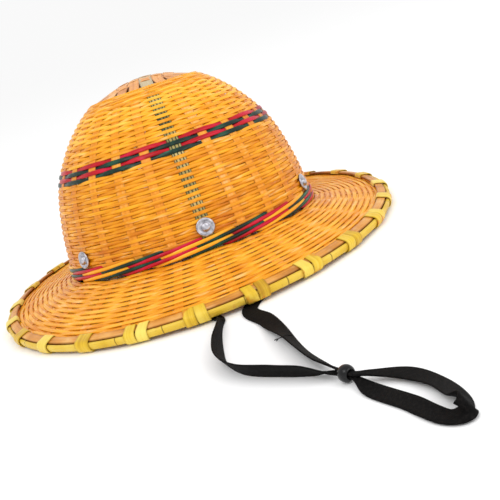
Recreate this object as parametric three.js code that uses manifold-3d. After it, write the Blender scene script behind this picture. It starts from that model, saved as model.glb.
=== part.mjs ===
// A woven bamboo hard hat, standing on its rim. Millimetres, +Z up.
// The origin is the middle of the rim, on the surface that the hat stands on.
// The front is towards -Y. Angles run anticlockwise from +X, seen from above.

import * as THREE from 'three';
import { mergeVertices } from 'three/addons/utils/BufferGeometryUtils.js';
import Module from 'manifold-3d';

const wasm = await Module();
wasm.setup();

const DEGREE = Math.PI / 180;

// --- Driving dimensions -------------------------------------------------------------

const GAP = 0.3;                    // clearance between pieces that touch
const STAKES = 24;                  // upright bamboo strips in crown and brim
const FIRST_STAKE = 278.4;          // degrees, the stake at the front rivet
const STAKE_WIDTH = 8.5;

const CROWN_LEAN_BACK = 6;          // degrees, the crown leans away from the front
const CROWN_LEAN_SIDE = 0.85;       // degrees, and a little towards +X
const CROWN_SHIFT = 0.9;            // the crown's foot sits this far towards +X
const WALL = 3;                     // woven wall: a stake with weavers on both faces

// Outside of the crown, in the crown's own leaning frame.
const CROWN_PROFILE = [
  { height: 30, radius: 94.8 },
  { height: 40, radius: 93.9 },
  { height: 50, radius: 92.5 },
  { height: 60, radius: 90.4 },
  { height: 70, radius: 88.0 },
  { height: 80, radius: 84.8 },
  { height: 88, radius: 81.4 },
  { height: 96, radius: 76.8 },
  { height: 104, radius: 71.3 },
  { height: 111, radius: 65.9 },
  { height: 118, radius: 59.3 },
  { height: 124, radius: 52.8 },
  { height: 129, radius: 46.2 },
  { height: 132.4, radius: 40.6 },
];
const CROWN_BASE = 17.1;            // bottom edge of the crown wall
const BASE_INNER_RADIUS = 91.7;     // inside of the wall behind the lower band

const UPPER_BAND_BOTTOM = 83.4;
const UPPER_BAND_TOP = 93.3;
const UPPER_BAND_THICKNESS = 1.3;
const UPPER_BAND_PROUD = 0.2;

const LOWER_BAND_TOP = 25.7;
const LOWER_BAND_RADIUS = 96.9;     // outside of the band at its bottom edge
const LOWER_BAND_TOP_RADIUS = 96.1;
const LOWER_BAND_THICKNESS = 2;
const LOWER_BAND_ROUND = 0.6;

// Top of the shallow cap of crossing strips.
const STAR_PROFILE = [
  { radius: 39.3, height: 132.6 },
  { radius: 28.5, height: 135.2 },
  { radius: 18.5, height: 138.3 },
  { radius: 7, height: 140.2 },
];
const STAR_TOP = 140.7;
const STAR_THICKNESS = 1.6;
const STAR_NOTCH_ROOT = 31;         // radius where neighbouring strips part
const STAR_NOTCH_EDGE = 41.3;       // the notches run out past the cap's edge
const STAR_NOTCH_WIDENING = 0.6;    // and are this much wider there than the strips leave

const RIM_RADIUS = 148.5;           // edge of the woven brim
const RIM_TILT = 15 * DEGREE;       // slope of the brim at the rim
const RIM_WAVE = 1.4;               // the rim lifts this much between its three low points
const BRIM_HALF_THICKNESS = 1.2;
const BRIM_ROOT_RADIUS = 96.4;      // where the brim starts to fall away
const BRIM_ROOT_THICKNESS = 2.6;
const BRIM_ROOT_ROUND = 0.6;        // the underside starts to fall away a little further in
const BRIM_STRAIGHT = 9;            // last stretch of the brim, held between the hoops

const HOOP_WIDTH = 6;
const HOOP_TOP_THICKNESS = 1.9;
const HOOP_UNDER_THICKNESS = 1.7;
const EDGE_STRIP_DEPTH = 3;
const EDGE_STRIP_HALF_HEIGHT = 2.6;
const EDGE_STRIP_BEVEL = { out: 0.6, up: 0.5 };   // shares of its depth and half height left flat

const WRAP_WIDTH = 11;
const DOUBLE_WRAP_WIDTH = 15.5;     // where two turns of cane lie side by side
const DOUBLE_WRAPS = [0, 1, 2, 3, 9, 12, 15, 22, 23];
const WRAP_THICKNESS = 0.7;
const WRAP_SHIFT = 4.4;             // degrees from a stake to the wrap beside it

const RIVETS = 6;
const RIVET_HEIGHT = 32.5;
const RIVET_SIDES = 10;
const SHANK_RADIUS = 1.6;
const INNER_DISC = { radius: 5, thickness: 0.8 };
// The cupped washer and the domed head, from the wall out.
const WASHER_AND_HEAD = [
  { radius: 5.85, height: GAP },
  { radius: 6.35, height: 0.8 },
  { radius: 5.85, height: 1.4 },
  { radius: 4.15, height: 1.8 },
  { radius: 3.3, height: 1.2 },
  { radius: 3, height: 2.3 },
  { radius: 1.8, height: 3.1 },
  { radius: 0, height: 3.3 },
];
const STRAP_RIVETS = [1, 4];        // the pair, one each side, that holds the strap
const DISC_GRIP = 0.6;              // room between the wall and a rivet's inner disc
const STRAP_GRIP = 2.4;             // the same where the strap passes under the disc

const STRAP_WIDTH = 10;
const STRAP_THICKNESS = 1;
const STRAP_CHAMFER = 0.25;
const GATHER_THICKENING = 0.43;     // a fully gathered strap would be this share thicker

const BEAD = { x: 60, y: -280.2, z: 4.3, radius: 4.2, hole: 2.4 };
const BEAD_AXIS = new THREE.Vector3(5.6, -9.5, 0).normalize();

const BEAD_STEPS = 6;
const BEAD_SIDES = 14;

const RING_STEPS = 60;
const CROWN_STEPS = 48;

// Route of the strap, from the left rivet to the right one. bank turns the strap about
// its length, in degrees: 0 lies flat. width gathers it where it enters the bead.
// hang is 1 where it hangs down the inside of the wall.
const STRAP_ROUTE = [
  { x: -82.9, y: 36.3, z: 27.1, bank: 0, width: 1, hang: 1 },
  { x: -83.2, y: 34.6, z: 9.2, bank: 0, width: 1, hang: 1 },
  { x: -89.6, y: 36.2, z: 2.6, bank: 0, width: 1, hang: 0.3 },
  { x: -103.5, y: 32.5, z: 0.85, bank: 0, width: 1, hang: 0 },
  { x: -113, y: 2, z: 0.75, bank: 0, width: 1, hang: 0 },
  { x: -96, y: -65, z: 0.7, bank: 0, width: 1, hang: 0 },
  { x: -46, y: -118.5, z: 0.7, bank: 0, width: 1, hang: 0 },
  { x: 2, y: -143, z: 0.85, bank: 0, width: 0.7, hang: 0 },
  { x: 7.4, y: -152.5, z: 1.5, bank: -14, width: 0.5, hang: 0 },
  { x: 7.4, y: -162, z: 3.5, bank: -74, width: 0.6, hang: 0 },
  { x: 3.9, y: -198, z: 4.9, bank: -68, width: 1, hang: 0 },
  { x: 4.6, y: -218.5, z: 4.7, bank: -60, width: 1, hang: 0 },
  { x: 13, y: -238.5, z: 4.8, bank: -62, width: 1, hang: 0 },
  { x: 30, y: -254.5, z: 4.9, bank: -64, width: 1, hang: 0 },
  { x: 47, y: -267.5, z: 4.1, bank: -50, width: 0.9, hang: 0 },
  { x: 57.2, y: -276, z: 3.4, bank: 0, width: 0.32, hang: 0 },
  { x: 60, y: -280.2, z: 3.35, bank: 0, width: 0.3, hang: 0 },
  { x: 62.8, y: -285.5, z: 3.3, bank: 0, width: 0.32, hang: 0 },
  { x: 67, y: -296, z: 1.2, bank: 0, width: 0.9, hang: 0 },
  { x: 78.5, y: -317, z: 0.9, bank: 0, width: 1, hang: 0 },
  { x: 88, y: -337, z: 1.1, bank: 0, width: 1, hang: 0 },
  { x: 94, y: -341, z: 3.2, bank: 25, width: 1, hang: 0 },
  { x: 96.5, y: -338.5, z: 5.2, bank: 65, width: 1, hang: 0 },
  { x: 96, y: -328, z: 3.2, bank: 25, width: 1, hang: 0 },
  { x: 93, y: -311, z: 2.2, bank: 15, width: 1, hang: 0 },
  { x: 84, y: -295.5, z: 2.5, bank: 0, width: 0.95, hang: 0 },
  { x: 70, y: -287.5, z: 4.2, bank: 0, width: 0.5, hang: 0 },
  { x: 62.8, y: -284.8, z: 5.25, bank: 0, width: 0.3, hang: 0 },
  { x: 60, y: -280.2, z: 5.25, bank: 0, width: 0.3, hang: 0 },
  { x: 57, y: -274.5, z: 5.2, bank: 40, width: 0.34, hang: 0 },
  { x: 51, y: -259, z: 4.4, bank: 40, width: 0.8, hang: 0 },
  { x: 45.5, y: -240, z: 4.3, bank: 45, width: 0.95, hang: 0 },
  { x: 41.5, y: -220, z: 3.9, bank: 40, width: 1, hang: 0 },
  { x: 33.5, y: -181, z: 2.2, bank: -10, width: 1, hang: 0 },
  { x: 26, y: -150.5, z: 0.72, bank: 0, width: 1, hang: 0 },
  { x: 60, y: -107.5, z: 1, bank: 0, width: 1, hang: 0 },
  { x: 96, y: -52, z: 1.2, bank: 0, width: 1, hang: 0 },
  { x: 92, y: -36, z: 4.4, bank: 0, width: 1, hang: 0.3 },
  { x: 85.5, y: -32.2, z: 13, bank: 0, width: 1, hang: 1 },
  { x: 85.5, y: -30.4, z: 32, bank: 0, width: 1, hang: 1 },
];

// --- Materials ----------------------------------------------------------------------

function finish(color, roughness, metalness = 0) {
  return new THREE.MeshStandardMaterial({ color, roughness, metalness });
}

const bambooWeave = () => finish(0xe0a14a, 0.42);
const bambooStrip = () => finish(0xdcb07e, 0.5);
const bambooHoop = () => finish(0xb07f4c, 0.55);
const yellowCane = () => finish(0xe6cf5a, 0.45);
const dyedBand = () => finish(0xa82a38, 0.45);
const rivetSteel = () => finish(0xb9b9be, 0.3, 1);
const blackWebbing = () => finish(0x17171a, 0.85);
const blackBead = () => finish(0x111113, 0.2);

// --- Helpers ------------------------------------------------------------------------

// Joins a closed section, given for each angle, into one ring that runs round the hat.
function ringGeometry(sectionAt, steps) {
  const sections = [];
  for (let i = 0; i < steps; i += 1) {
    sections.push(sectionAt((360 * i) / steps));
  }
  const count = sections[0].length;
  const index = [];
  for (let i = 0; i < steps; i += 1) {
    const here = i * count;
    const next = ((i + 1) % steps) * count;
    for (let j = 0; j < count; j += 1) {
      const k = (j + 1) % count;
      index.push(here + j, next + j, next + k);
      index.push(here + j, next + k, here + k);
    }
  }
  const geometry = new THREE.BufferGeometry();
  geometry.setFromPoints(sections.flat());
  geometry.setIndex(index);
  geometry.computeVertexNormals();
  return geometry;
}

// A section point at a radius and height, turned to an angle about the Z axis.
function onRing(angle, radius, height) {
  const a = angle * DEGREE;
  return new THREE.Vector3(radius * Math.cos(a), radius * Math.sin(a), height);
}

// A ring of constant section. Points run anticlockwise with radius to the right.
function plainRing(profile, steps) {
  return ringGeometry((angle) => profile.map((p) => onRing(angle, p.radius, p.height)), steps);
}

// A turned piece about the Z axis.
function turned(points, segments) {
  const outline = points.map(([radius, height]) => new THREE.Vector2(radius, height));
  const geometry = new THREE.LatheGeometry(outline, segments);
  geometry.rotateX(Math.PI / 2);
  return geometry;
}

function toSolid(geometry) {
  const bare = geometry.clone();
  bare.deleteAttribute('normal');
  bare.deleteAttribute('uv');
  const merged = mergeVertices(bare, 1e-4);
  const mesh = new wasm.Mesh({
    numProp: 3,
    vertProperties: new Float32Array(merged.attributes.position.array),
    triVerts: new Uint32Array(merged.index.array),
  });
  return new wasm.Manifold(mesh);
}

function toGeometry(solid) {
  const mesh = solid.getMesh();
  const geometry = new THREE.BufferGeometry();
  geometry.setAttribute('position', new THREE.BufferAttribute(mesh.vertProperties, 3));
  geometry.setIndex(new THREE.BufferAttribute(mesh.triVerts, 1));
  geometry.computeVertexNormals();
  return geometry;
}

function named(name, geometry, material) {
  const mesh = new THREE.Mesh(geometry, material);
  mesh.name = name;
  return mesh;
}

// --- Frames -------------------------------------------------------------------------

const crownTurn = new THREE.Euler(-CROWN_LEAN_BACK * DEGREE, CROWN_LEAN_SIDE * DEGREE, 0);

// A point of the leaning crown's frame, in the hat's frame.
function crownPoint(angle, radius, height) {
  const point = onRing(angle, radius, height).applyEuler(crownTurn);
  point.x += CROWN_SHIFT;
  return point;
}

// Height of the rim's wave: highest beside the front stake, lowest a sixth of a turn on.
function rimWave(angle) {
  const phase = 3 * (angle - FIRST_STAKE - WRAP_SHIFT) * DEGREE;
  return (RIM_WAVE * (1 + Math.cos(phase))) / 2;
}

// The wrap reaches this far out and down, and its lowest corner touches the surface.
const WRAP_INSIDE_OUT = EDGE_STRIP_DEPTH + GAP;
const WRAP_INSIDE_TOP = BRIM_HALF_THICKNESS + GAP + HOOP_TOP_THICKNESS + GAP;
const WRAP_INSIDE_BOTTOM = -(BRIM_HALF_THICKNESS + GAP + HOOP_UNDER_THICKNESS + GAP);
const WRAP_CORNER = 1.6;            // how much the wrap's outer corners are cut off
const WRAP_FOOT = 1.2;              // width of the level face that a wrap rests on
const WRAP_LOW = {
  out: WRAP_INSIDE_OUT + WRAP_THICKNESS - WRAP_CORNER,
  up: WRAP_INSIDE_BOTTOM - WRAP_THICKNESS,
};
const RIM_CENTRE = WRAP_LOW.out * Math.sin(RIM_TILT) - WRAP_LOW.up * Math.cos(RIM_TILT);

// A point beside the brim's edge: out runs down the slope and up stands square to it.
function rimPoint(angle, out, up) {
  const radius = RIM_RADIUS + out * Math.cos(RIM_TILT) + up * Math.sin(RIM_TILT);
  const height = RIM_CENTRE - out * Math.sin(RIM_TILT) + up * Math.cos(RIM_TILT);
  return onRing(angle, radius, height + rimWave(angle));
}

// --- Crown --------------------------------------------------------------------------

const crownCurve = new THREE.CatmullRomCurve3(
  CROWN_PROFILE.map((row) => new THREE.Vector3(row.radius, row.height, 0)),
);

// Outside radius of the crown at a height, between the rows of its profile.
function crownRadius(height) {
  const rows = CROWN_PROFILE;
  let i = 1;
  while (i < rows.length - 1 && rows[i].height < height) {
    i += 1;
  }
  const t = (height - rows[i - 1].height) / (rows[i].height - rows[i - 1].height);
  return rows[i - 1].radius + t * (rows[i].radius - rows[i - 1].radius);
}

// The wall's inside: the profile set in by the wall's thickness, square to its slope,
// with half as many rows.
function insideOfCrown() {
  const last = CROWN_PROFILE.length - 1;
  const inside = CROWN_PROFILE.map((row, i) => {
    const slope = crownCurve.getTangent(i / last);
    return { radius: row.radius - WALL * slope.y, height: row.height + WALL * slope.x };
  });
  return inside.filter((row, i) => i % 2 === 0 || i === last);
}

// The shallow seat that the upper band lies in.
function bandSeat() {
  const depth = UPPER_BAND_THICKNESS - UPPER_BAND_PROUD + GAP;
  const bottom = UPPER_BAND_BOTTOM - GAP;
  const top = UPPER_BAND_TOP + GAP;
  return [
    { radius: crownRadius(bottom), height: bottom },
    { radius: crownRadius(bottom) - depth, height: bottom },
    { radius: crownRadius(top) - depth, height: top },
    { radius: crownRadius(top), height: top },
  ];
}

function rivetPlace(i) {
  const angle = FIRST_STAKE + (360 / RIVETS) * i;
  const low = RIVET_HEIGHT - INNER_DISC.radius;
  const high = RIVET_HEIGHT + INNER_DISC.radius;
  const slope = (crownRadius(high) - crownRadius(low)) / (high - low);
  const outward = onRing(angle, 1, -slope).normalize();
  return { outward, seat: onRing(angle, crownRadius(RIVET_HEIGHT), RIVET_HEIGHT) };
}

function crownWall() {
  const below = CROWN_PROFILE.filter((row) => row.height < UPPER_BAND_BOTTOM - GAP);
  const above = CROWN_PROFILE.filter((row) => row.height > UPPER_BAND_TOP + GAP);
  const behindBand = LOWER_BAND_THICKNESS + GAP;
  const profile = [
    { radius: BASE_INNER_RADIUS, height: CROWN_BASE },
    { radius: LOWER_BAND_RADIUS - behindBand, height: CROWN_BASE },
    { radius: LOWER_BAND_TOP_RADIUS - behindBand, height: LOWER_BAND_TOP + GAP },
    { radius: crownRadius(LOWER_BAND_TOP + GAP), height: LOWER_BAND_TOP + GAP },
    ...below.slice(1),
    ...bandSeat(),
    ...above,
    ...insideOfCrown().reverse(),
  ];
  let solid = toSolid(plainRing(profile, CROWN_STEPS));
  for (let i = 0; i < RIVETS; i += 1) {
    const { outward, seat } = rivetPlace(i);
    const hole = SHANK_RADIUS + GAP;
    const drill = new THREE.CylinderGeometry(hole, hole, 4 * WALL, RIVET_SIDES);
    const upright = new THREE.Vector3(0, 1, 0);
    drill.applyQuaternion(new THREE.Quaternion().setFromUnitVectors(upright, outward));
    drill.translate(seat.x, seat.y, seat.z);
    solid = solid.subtract(toSolid(drill));
  }
  return named('crown_wall', toGeometry(solid), bambooWeave());
}

function upperBand() {
  const outer = UPPER_BAND_PROUD;
  const inner = UPPER_BAND_PROUD - UPPER_BAND_THICKNESS;
  const middle = (UPPER_BAND_BOTTOM + UPPER_BAND_TOP) / 2;
  const profile = [
    { radius: crownRadius(UPPER_BAND_BOTTOM) + inner, height: UPPER_BAND_BOTTOM },
    { radius: crownRadius(UPPER_BAND_BOTTOM) + outer, height: UPPER_BAND_BOTTOM },
    { radius: crownRadius(middle) + outer, height: middle },
    { radius: crownRadius(UPPER_BAND_TOP) + outer, height: UPPER_BAND_TOP },
    { radius: crownRadius(UPPER_BAND_TOP) + inner, height: UPPER_BAND_TOP },
  ];
  return named('upper_band', plainRing(profile, CROWN_STEPS), dyedBand());
}

function lowerBand() {
  const round = LOWER_BAND_ROUND;
  const profile = [
    { radius: LOWER_BAND_RADIUS - LOWER_BAND_THICKNESS, height: CROWN_BASE },
    { radius: LOWER_BAND_RADIUS - round, height: CROWN_BASE },
    { radius: LOWER_BAND_RADIUS, height: CROWN_BASE + round },
    { radius: LOWER_BAND_TOP_RADIUS, height: LOWER_BAND_TOP - round },
    { radius: LOWER_BAND_TOP_RADIUS - round, height: LOWER_BAND_TOP },
    { radius: LOWER_BAND_TOP_RADIUS - LOWER_BAND_THICKNESS, height: LOWER_BAND_TOP },
  ];
  return named('lower_band', plainRing(profile, CROWN_STEPS), dyedBand());
}

// The cap of crossing strips: a shallow dome, notched between the strips' ends.
function crownStar() {
  const top = STAR_PROFILE.map((row) => [row.radius, row.height]);
  const underside = STAR_PROFILE.map((row) => [row.radius, row.height - STAR_THICKNESS]).reverse();
  const outline = [[0, STAR_TOP - STAR_THICKNESS], ...underside, ...top, [0, STAR_TOP]];
  let solid = toSolid(turned(outline, STAKES));
  const edge = STAR_NOTCH_EDGE;
  const halfNotch = (Math.PI * edge) / STAKES - STAKE_WIDTH / 2 + STAR_NOTCH_WIDENING / 2;
  const depth = STAR_TOP - STAR_PROFILE[0].height + 2 * STAR_THICKNESS;
  for (let i = 0; i < STAKES; i += 1) {
    const notch = new THREE.Shape();
    notch.moveTo(STAR_NOTCH_ROOT, 0);
    notch.lineTo(edge, -halfNotch);
    notch.lineTo(edge, halfNotch);
    notch.closePath();
    const cutter = new THREE.ExtrudeGeometry(notch, { depth, bevelEnabled: false });
    cutter.translate(0, 0, STAR_PROFILE[0].height - 2 * STAR_THICKNESS);
    cutter.rotateZ((FIRST_STAKE + (360 / STAKES) * (i + 0.5)) * DEGREE);
    solid = solid.subtract(toSolid(cutter));
  }
  return named('crown_star', toGeometry(solid), bambooStrip());
}

// --- Rivets -------------------------------------------------------------------------

// A cupped washer with a domed head outside, a shank through the wall and a disc inside.
function rivet(i) {
  const grip = STRAP_RIVETS.includes(i) ? STRAP_GRIP : DISC_GRIP;
  const disc = -(WALL + grip);
  const outline = [
    [0, disc - INNER_DISC.thickness],
    [INNER_DISC.radius, disc - INNER_DISC.thickness],
    [INNER_DISC.radius, disc],
    [SHANK_RADIUS, disc],
    [SHANK_RADIUS, GAP],
    ...WASHER_AND_HEAD.map((row) => [row.radius, row.height]),
  ];
  const mesh = named(`rivet_${i + 1}`, turned(outline, RIVET_SIDES), rivetSteel());
  const { outward, seat } = rivetPlace(i);
  mesh.quaternion.setFromUnitVectors(new THREE.Vector3(0, 0, 1), outward);
  mesh.position.copy(seat);
  return mesh;
}

// --- Brim and rim -------------------------------------------------------------------

function brim() {
  const t = BRIM_HALF_THICKNESS;
  const top = CROWN_BASE - GAP;
  const bottom = top - BRIM_ROOT_THICKNESS;
  const geometry = ringGeometry((angle) => [
    crownPoint(angle, BASE_INNER_RADIUS, top),
    crownPoint(angle, BASE_INNER_RADIUS, bottom),
    crownPoint(angle, BRIM_ROOT_RADIUS - BRIM_ROOT_ROUND, bottom),
    rimPoint(angle, -BRIM_STRAIGHT, -t),
    rimPoint(angle, -GAP, -t),
    rimPoint(angle, -GAP, t),
    rimPoint(angle, -BRIM_STRAIGHT, t),
    crownPoint(angle, BRIM_ROOT_RADIUS, top),
  ], RING_STEPS);
  return named('brim', geometry, bambooWeave());
}

function rimHoop(name, low, thickness) {
  const inner = -GAP - HOOP_WIDTH;
  const geometry = ringGeometry((angle) => [
    rimPoint(angle, inner, low),
    rimPoint(angle, -GAP, low),
    rimPoint(angle, -GAP, low + thickness),
    rimPoint(angle, inner, low + thickness),
  ], RING_STEPS);
  return named(name, geometry, bambooHoop());
}

function rimEdgeStrip() {
  const h = EDGE_STRIP_HALF_HEIGHT;
  const d = EDGE_STRIP_DEPTH;
  const geometry = ringGeometry((angle) => [
    rimPoint(angle, 0, -h),
    rimPoint(angle, EDGE_STRIP_BEVEL.out * d, -h),
    rimPoint(angle, d, -EDGE_STRIP_BEVEL.up * h),
    rimPoint(angle, d, EDGE_STRIP_BEVEL.up * h),
    rimPoint(angle, EDGE_STRIP_BEVEL.out * d, h),
    rimPoint(angle, 0, h),
  ], RING_STEPS);
  return named('rim_edge_strip', geometry, yellowCane());
}

// A flat wrap, bent round the rim from the top of the brim to its underside. Its ends
// lie on the rim's circle, so it is set in by the rise of the arc between them.
function rimWrap(i) {
  const inner = -GAP - HOOP_WIDTH - GAP;
  const w = WRAP_THICKNESS;
  const c = WRAP_CORNER;
  const foot = BRIM_HALF_THICKNESS + GAP;
  const out = WRAP_INSIDE_OUT;
  const top = WRAP_INSIDE_TOP;
  const low = WRAP_INSIDE_BOTTOM;
  const outline = [
    [inner, foot],
    [inner, top],
    [out - c, top],
    [out, top - c],
    [out, low + c],
    [out - c, low],
    [inner, low],
    [inner, -foot],
    [inner - w, -foot],
    [inner - w, low - w],
    [WRAP_LOW.out, WRAP_LOW.up],
    [WRAP_LOW.out + WRAP_FOOT * Math.cos(RIM_TILT), WRAP_LOW.up + WRAP_FOOT * Math.sin(RIM_TILT)],
    [out + w, low + c - w],
    [out + w, top - c + w],
    [out + w - c, top + w],
    [inner - w, top + w],
    [inner - w, foot],
  ];
  const shape = new THREE.Shape(outline.map(([x, y]) => new THREE.Vector2(x, y)));
  const depth = DOUBLE_WRAPS.includes(i) ? DOUBLE_WRAP_WIDTH : WRAP_WIDTH;
  const geometry = new THREE.ExtrudeGeometry(shape, { depth, bevelEnabled: false });
  geometry.translate(0, 0, -depth / 2);
  geometry.rotateX(Math.PI / 2);
  geometry.rotateY(RIM_TILT);
  const angle = FIRST_STAKE + WRAP_SHIFT + (360 / STAKES) * i;
  const endsRadius = Math.sqrt(RIM_RADIUS ** 2 - (depth / 2) ** 2);
  geometry.translate(endsRadius, 0, RIM_CENTRE + rimWave(angle));
  geometry.rotateZ(angle * DEGREE);
  return named(`rim_wrap_${String(i + 1).padStart(2, '0')}`, geometry, yellowCane());
}

// --- Chin strap ---------------------------------------------------------------------

// The strap's middle line. Its frames hold the width across and the thickness up, turned
// by the bank, so the strap lies flat, stands on edge or is gathered as its route says.
class StrapCurve extends THREE.CatmullRomCurve3 {
  constructor(rows) {
    super(rows.map((row) => new THREE.Vector3(row.x, row.y, row.z)));
    this.rows = rows;
  }

  valueAt(t, key) {
    const place = t * (this.rows.length - 1);
    const i = Math.min(Math.floor(place), this.rows.length - 2);
    return THREE.MathUtils.lerp(this.rows[i][key], this.rows[i + 1][key], place - i);
  }

  // Steps follow the rows, so that they are closest where the strap turns most.
  getSpacedPoints(steps) {
    return this.getPoints(steps);
  }

  computeFrenetFrames(steps) {
    const frames = { tangents: [], normals: [], binormals: [] };
    for (let i = 0; i <= steps; i += 1) {
      const t = i / steps;
      const along = this.getTangent(t);
      const here = this.getPoint(t);
      const outward = new THREE.Vector3(here.x, here.y, 0).normalize();
      const face = outward.multiplyScalar(this.valueAt(t, 'hang')).add(new THREE.Vector3(0, 0, 1));
      const across = along.clone().cross(face).normalize();
      across.applyAxisAngle(along, this.valueAt(t, 'bank') * DEGREE);
      const gather = this.valueAt(t, 'width');
      frames.tangents.push(along);
      const thickening = 1 + GATHER_THICKENING * (1 - gather);
      frames.binormals.push(along.clone().cross(across).multiplyScalar(thickening));
      frames.normals.push(across.multiplyScalar(gather));
    }
    return frames;
  }
}

function chinStrap() {
  const w = STRAP_WIDTH / 2;
  const h = STRAP_THICKNESS / 2;
  const c = STRAP_CHAMFER;
  const section = new THREE.Shape([
    new THREE.Vector2(w, -h + c),
    new THREE.Vector2(w, h - c),
    new THREE.Vector2(w - c, h),
    new THREE.Vector2(-w + c, h),
    new THREE.Vector2(-w, h - c),
    new THREE.Vector2(-w, -h + c),
    new THREE.Vector2(-w + c, -h),
    new THREE.Vector2(w - c, -h),
  ]);
  const path = new StrapCurve(STRAP_ROUTE);
  const steps = 2 * (STRAP_ROUTE.length - 1);
  const geometry = new THREE.ExtrudeGeometry(section, { steps, extrudePath: path });
  return named('chin_strap', geometry, blackWebbing());
}

function strapBead() {
  const { radius, hole } = BEAD;
  const first = Math.acos(hole / radius);
  const outline = [];
  for (let i = 0; i <= BEAD_STEPS; i += 1) {
    const a = -first + (2 * first * i) / BEAD_STEPS;
    outline.push([radius * Math.cos(a), radius * Math.sin(a)]);
  }
  outline.push(outline[0]);
  const mesh = named('strap_bead', turned(outline, BEAD_SIDES), blackBead());
  mesh.quaternion.setFromUnitVectors(new THREE.Vector3(0, 0, 1), BEAD_AXIS);
  mesh.position.set(BEAD.x, BEAD.y, BEAD.z);
  return mesh;
}

// --- Assembly -----------------------------------------------------------------------

const hat = new THREE.Group();

const crown = new THREE.Group();
crown.rotation.copy(crownTurn);
crown.position.x = CROWN_SHIFT;
crown.add(crownWall(), crownStar(), upperBand(), lowerBand());
for (let i = 0; i < RIVETS; i += 1) {
  crown.add(rivet(i));
}

const rim = new THREE.Group();
const hoopLow = BRIM_HALF_THICKNESS + GAP;
rim.add(rimHoop('rim_hoop_top', hoopLow, HOOP_TOP_THICKNESS));
rim.add(rimHoop('rim_hoop_under', -hoopLow - HOOP_UNDER_THICKNESS, HOOP_UNDER_THICKNESS));
rim.add(rimEdgeStrip());
for (let i = 0; i < STAKES; i += 1) {
  rim.add(rimWrap(i));
}

hat.add(crown, brim(), rim, chinStrap(), strapBead());

export default hat;
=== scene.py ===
"""A woven bamboo hard hat on a pale floor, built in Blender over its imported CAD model.

Metres, +Z up.
"""
import bpy
import math
import numpy as np
from mathutils import Matrix, Vector


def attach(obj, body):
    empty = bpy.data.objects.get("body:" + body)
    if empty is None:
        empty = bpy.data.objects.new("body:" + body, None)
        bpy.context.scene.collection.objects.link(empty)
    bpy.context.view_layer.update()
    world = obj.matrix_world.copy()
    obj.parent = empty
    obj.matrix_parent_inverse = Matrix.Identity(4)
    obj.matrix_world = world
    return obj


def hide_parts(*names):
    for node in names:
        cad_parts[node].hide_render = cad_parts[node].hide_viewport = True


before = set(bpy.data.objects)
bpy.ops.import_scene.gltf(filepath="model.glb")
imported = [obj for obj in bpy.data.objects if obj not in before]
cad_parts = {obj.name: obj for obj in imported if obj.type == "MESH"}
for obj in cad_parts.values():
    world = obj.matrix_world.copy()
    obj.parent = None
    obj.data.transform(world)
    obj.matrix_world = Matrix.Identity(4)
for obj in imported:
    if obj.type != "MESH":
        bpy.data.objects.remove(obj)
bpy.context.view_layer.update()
MM = 0.001

# --- Sizes, as in the CAD model ------------------------------------------------------

STAKES = 24
SPACING = 2 * math.pi / STAKES
FRONT_STAKE = math.radians(278.4)
STAKE_WIDTH = 8.5 * MM
CROWN_STAKE_WIDTH = 7 * MM

CROWN_LEAN_BACK = math.radians(-6)
CROWN_LEAN_SIDE = math.radians(0.85)
CROWN_SHIFT = 0.9 * MM
WALL = 3 * MM
# Outside of the crown in its own leaning frame: height and radius, in millimetres.
CROWN_PROFILE = [
    (17.1, 96.0),
    (25.7, 95.3),
    (40, 93.9),
    (50, 92.5),
    (60, 90.4),
    (70, 88.0),
    (80, 84.8),
    (88, 81.4),
    (96, 76.8),
    (104, 71.3),
    (111, 65.9),
    (118, 59.3),
    (124, 52.8),
    (129, 46.2),
    (132.4, 40.6),
]
CROWN_BASE = 17.1 * MM
LOWER_BAND_TOP = 25.7 * MM
UPPER_BAND = (83.4 * MM, 93.3 * MM)

RIM_RADIUS = 148.5 * MM
RIM_TILT = math.radians(15)
RIM_WAVE = 1.4 * MM
RIM_CENTRE = 4.67 * MM
WRAP_SHIFT = math.radians(4.4)
BRIM_ROOT_RADIUS = 96.4 * MM
BRIM_STRAIGHT = 9 * MM

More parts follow.
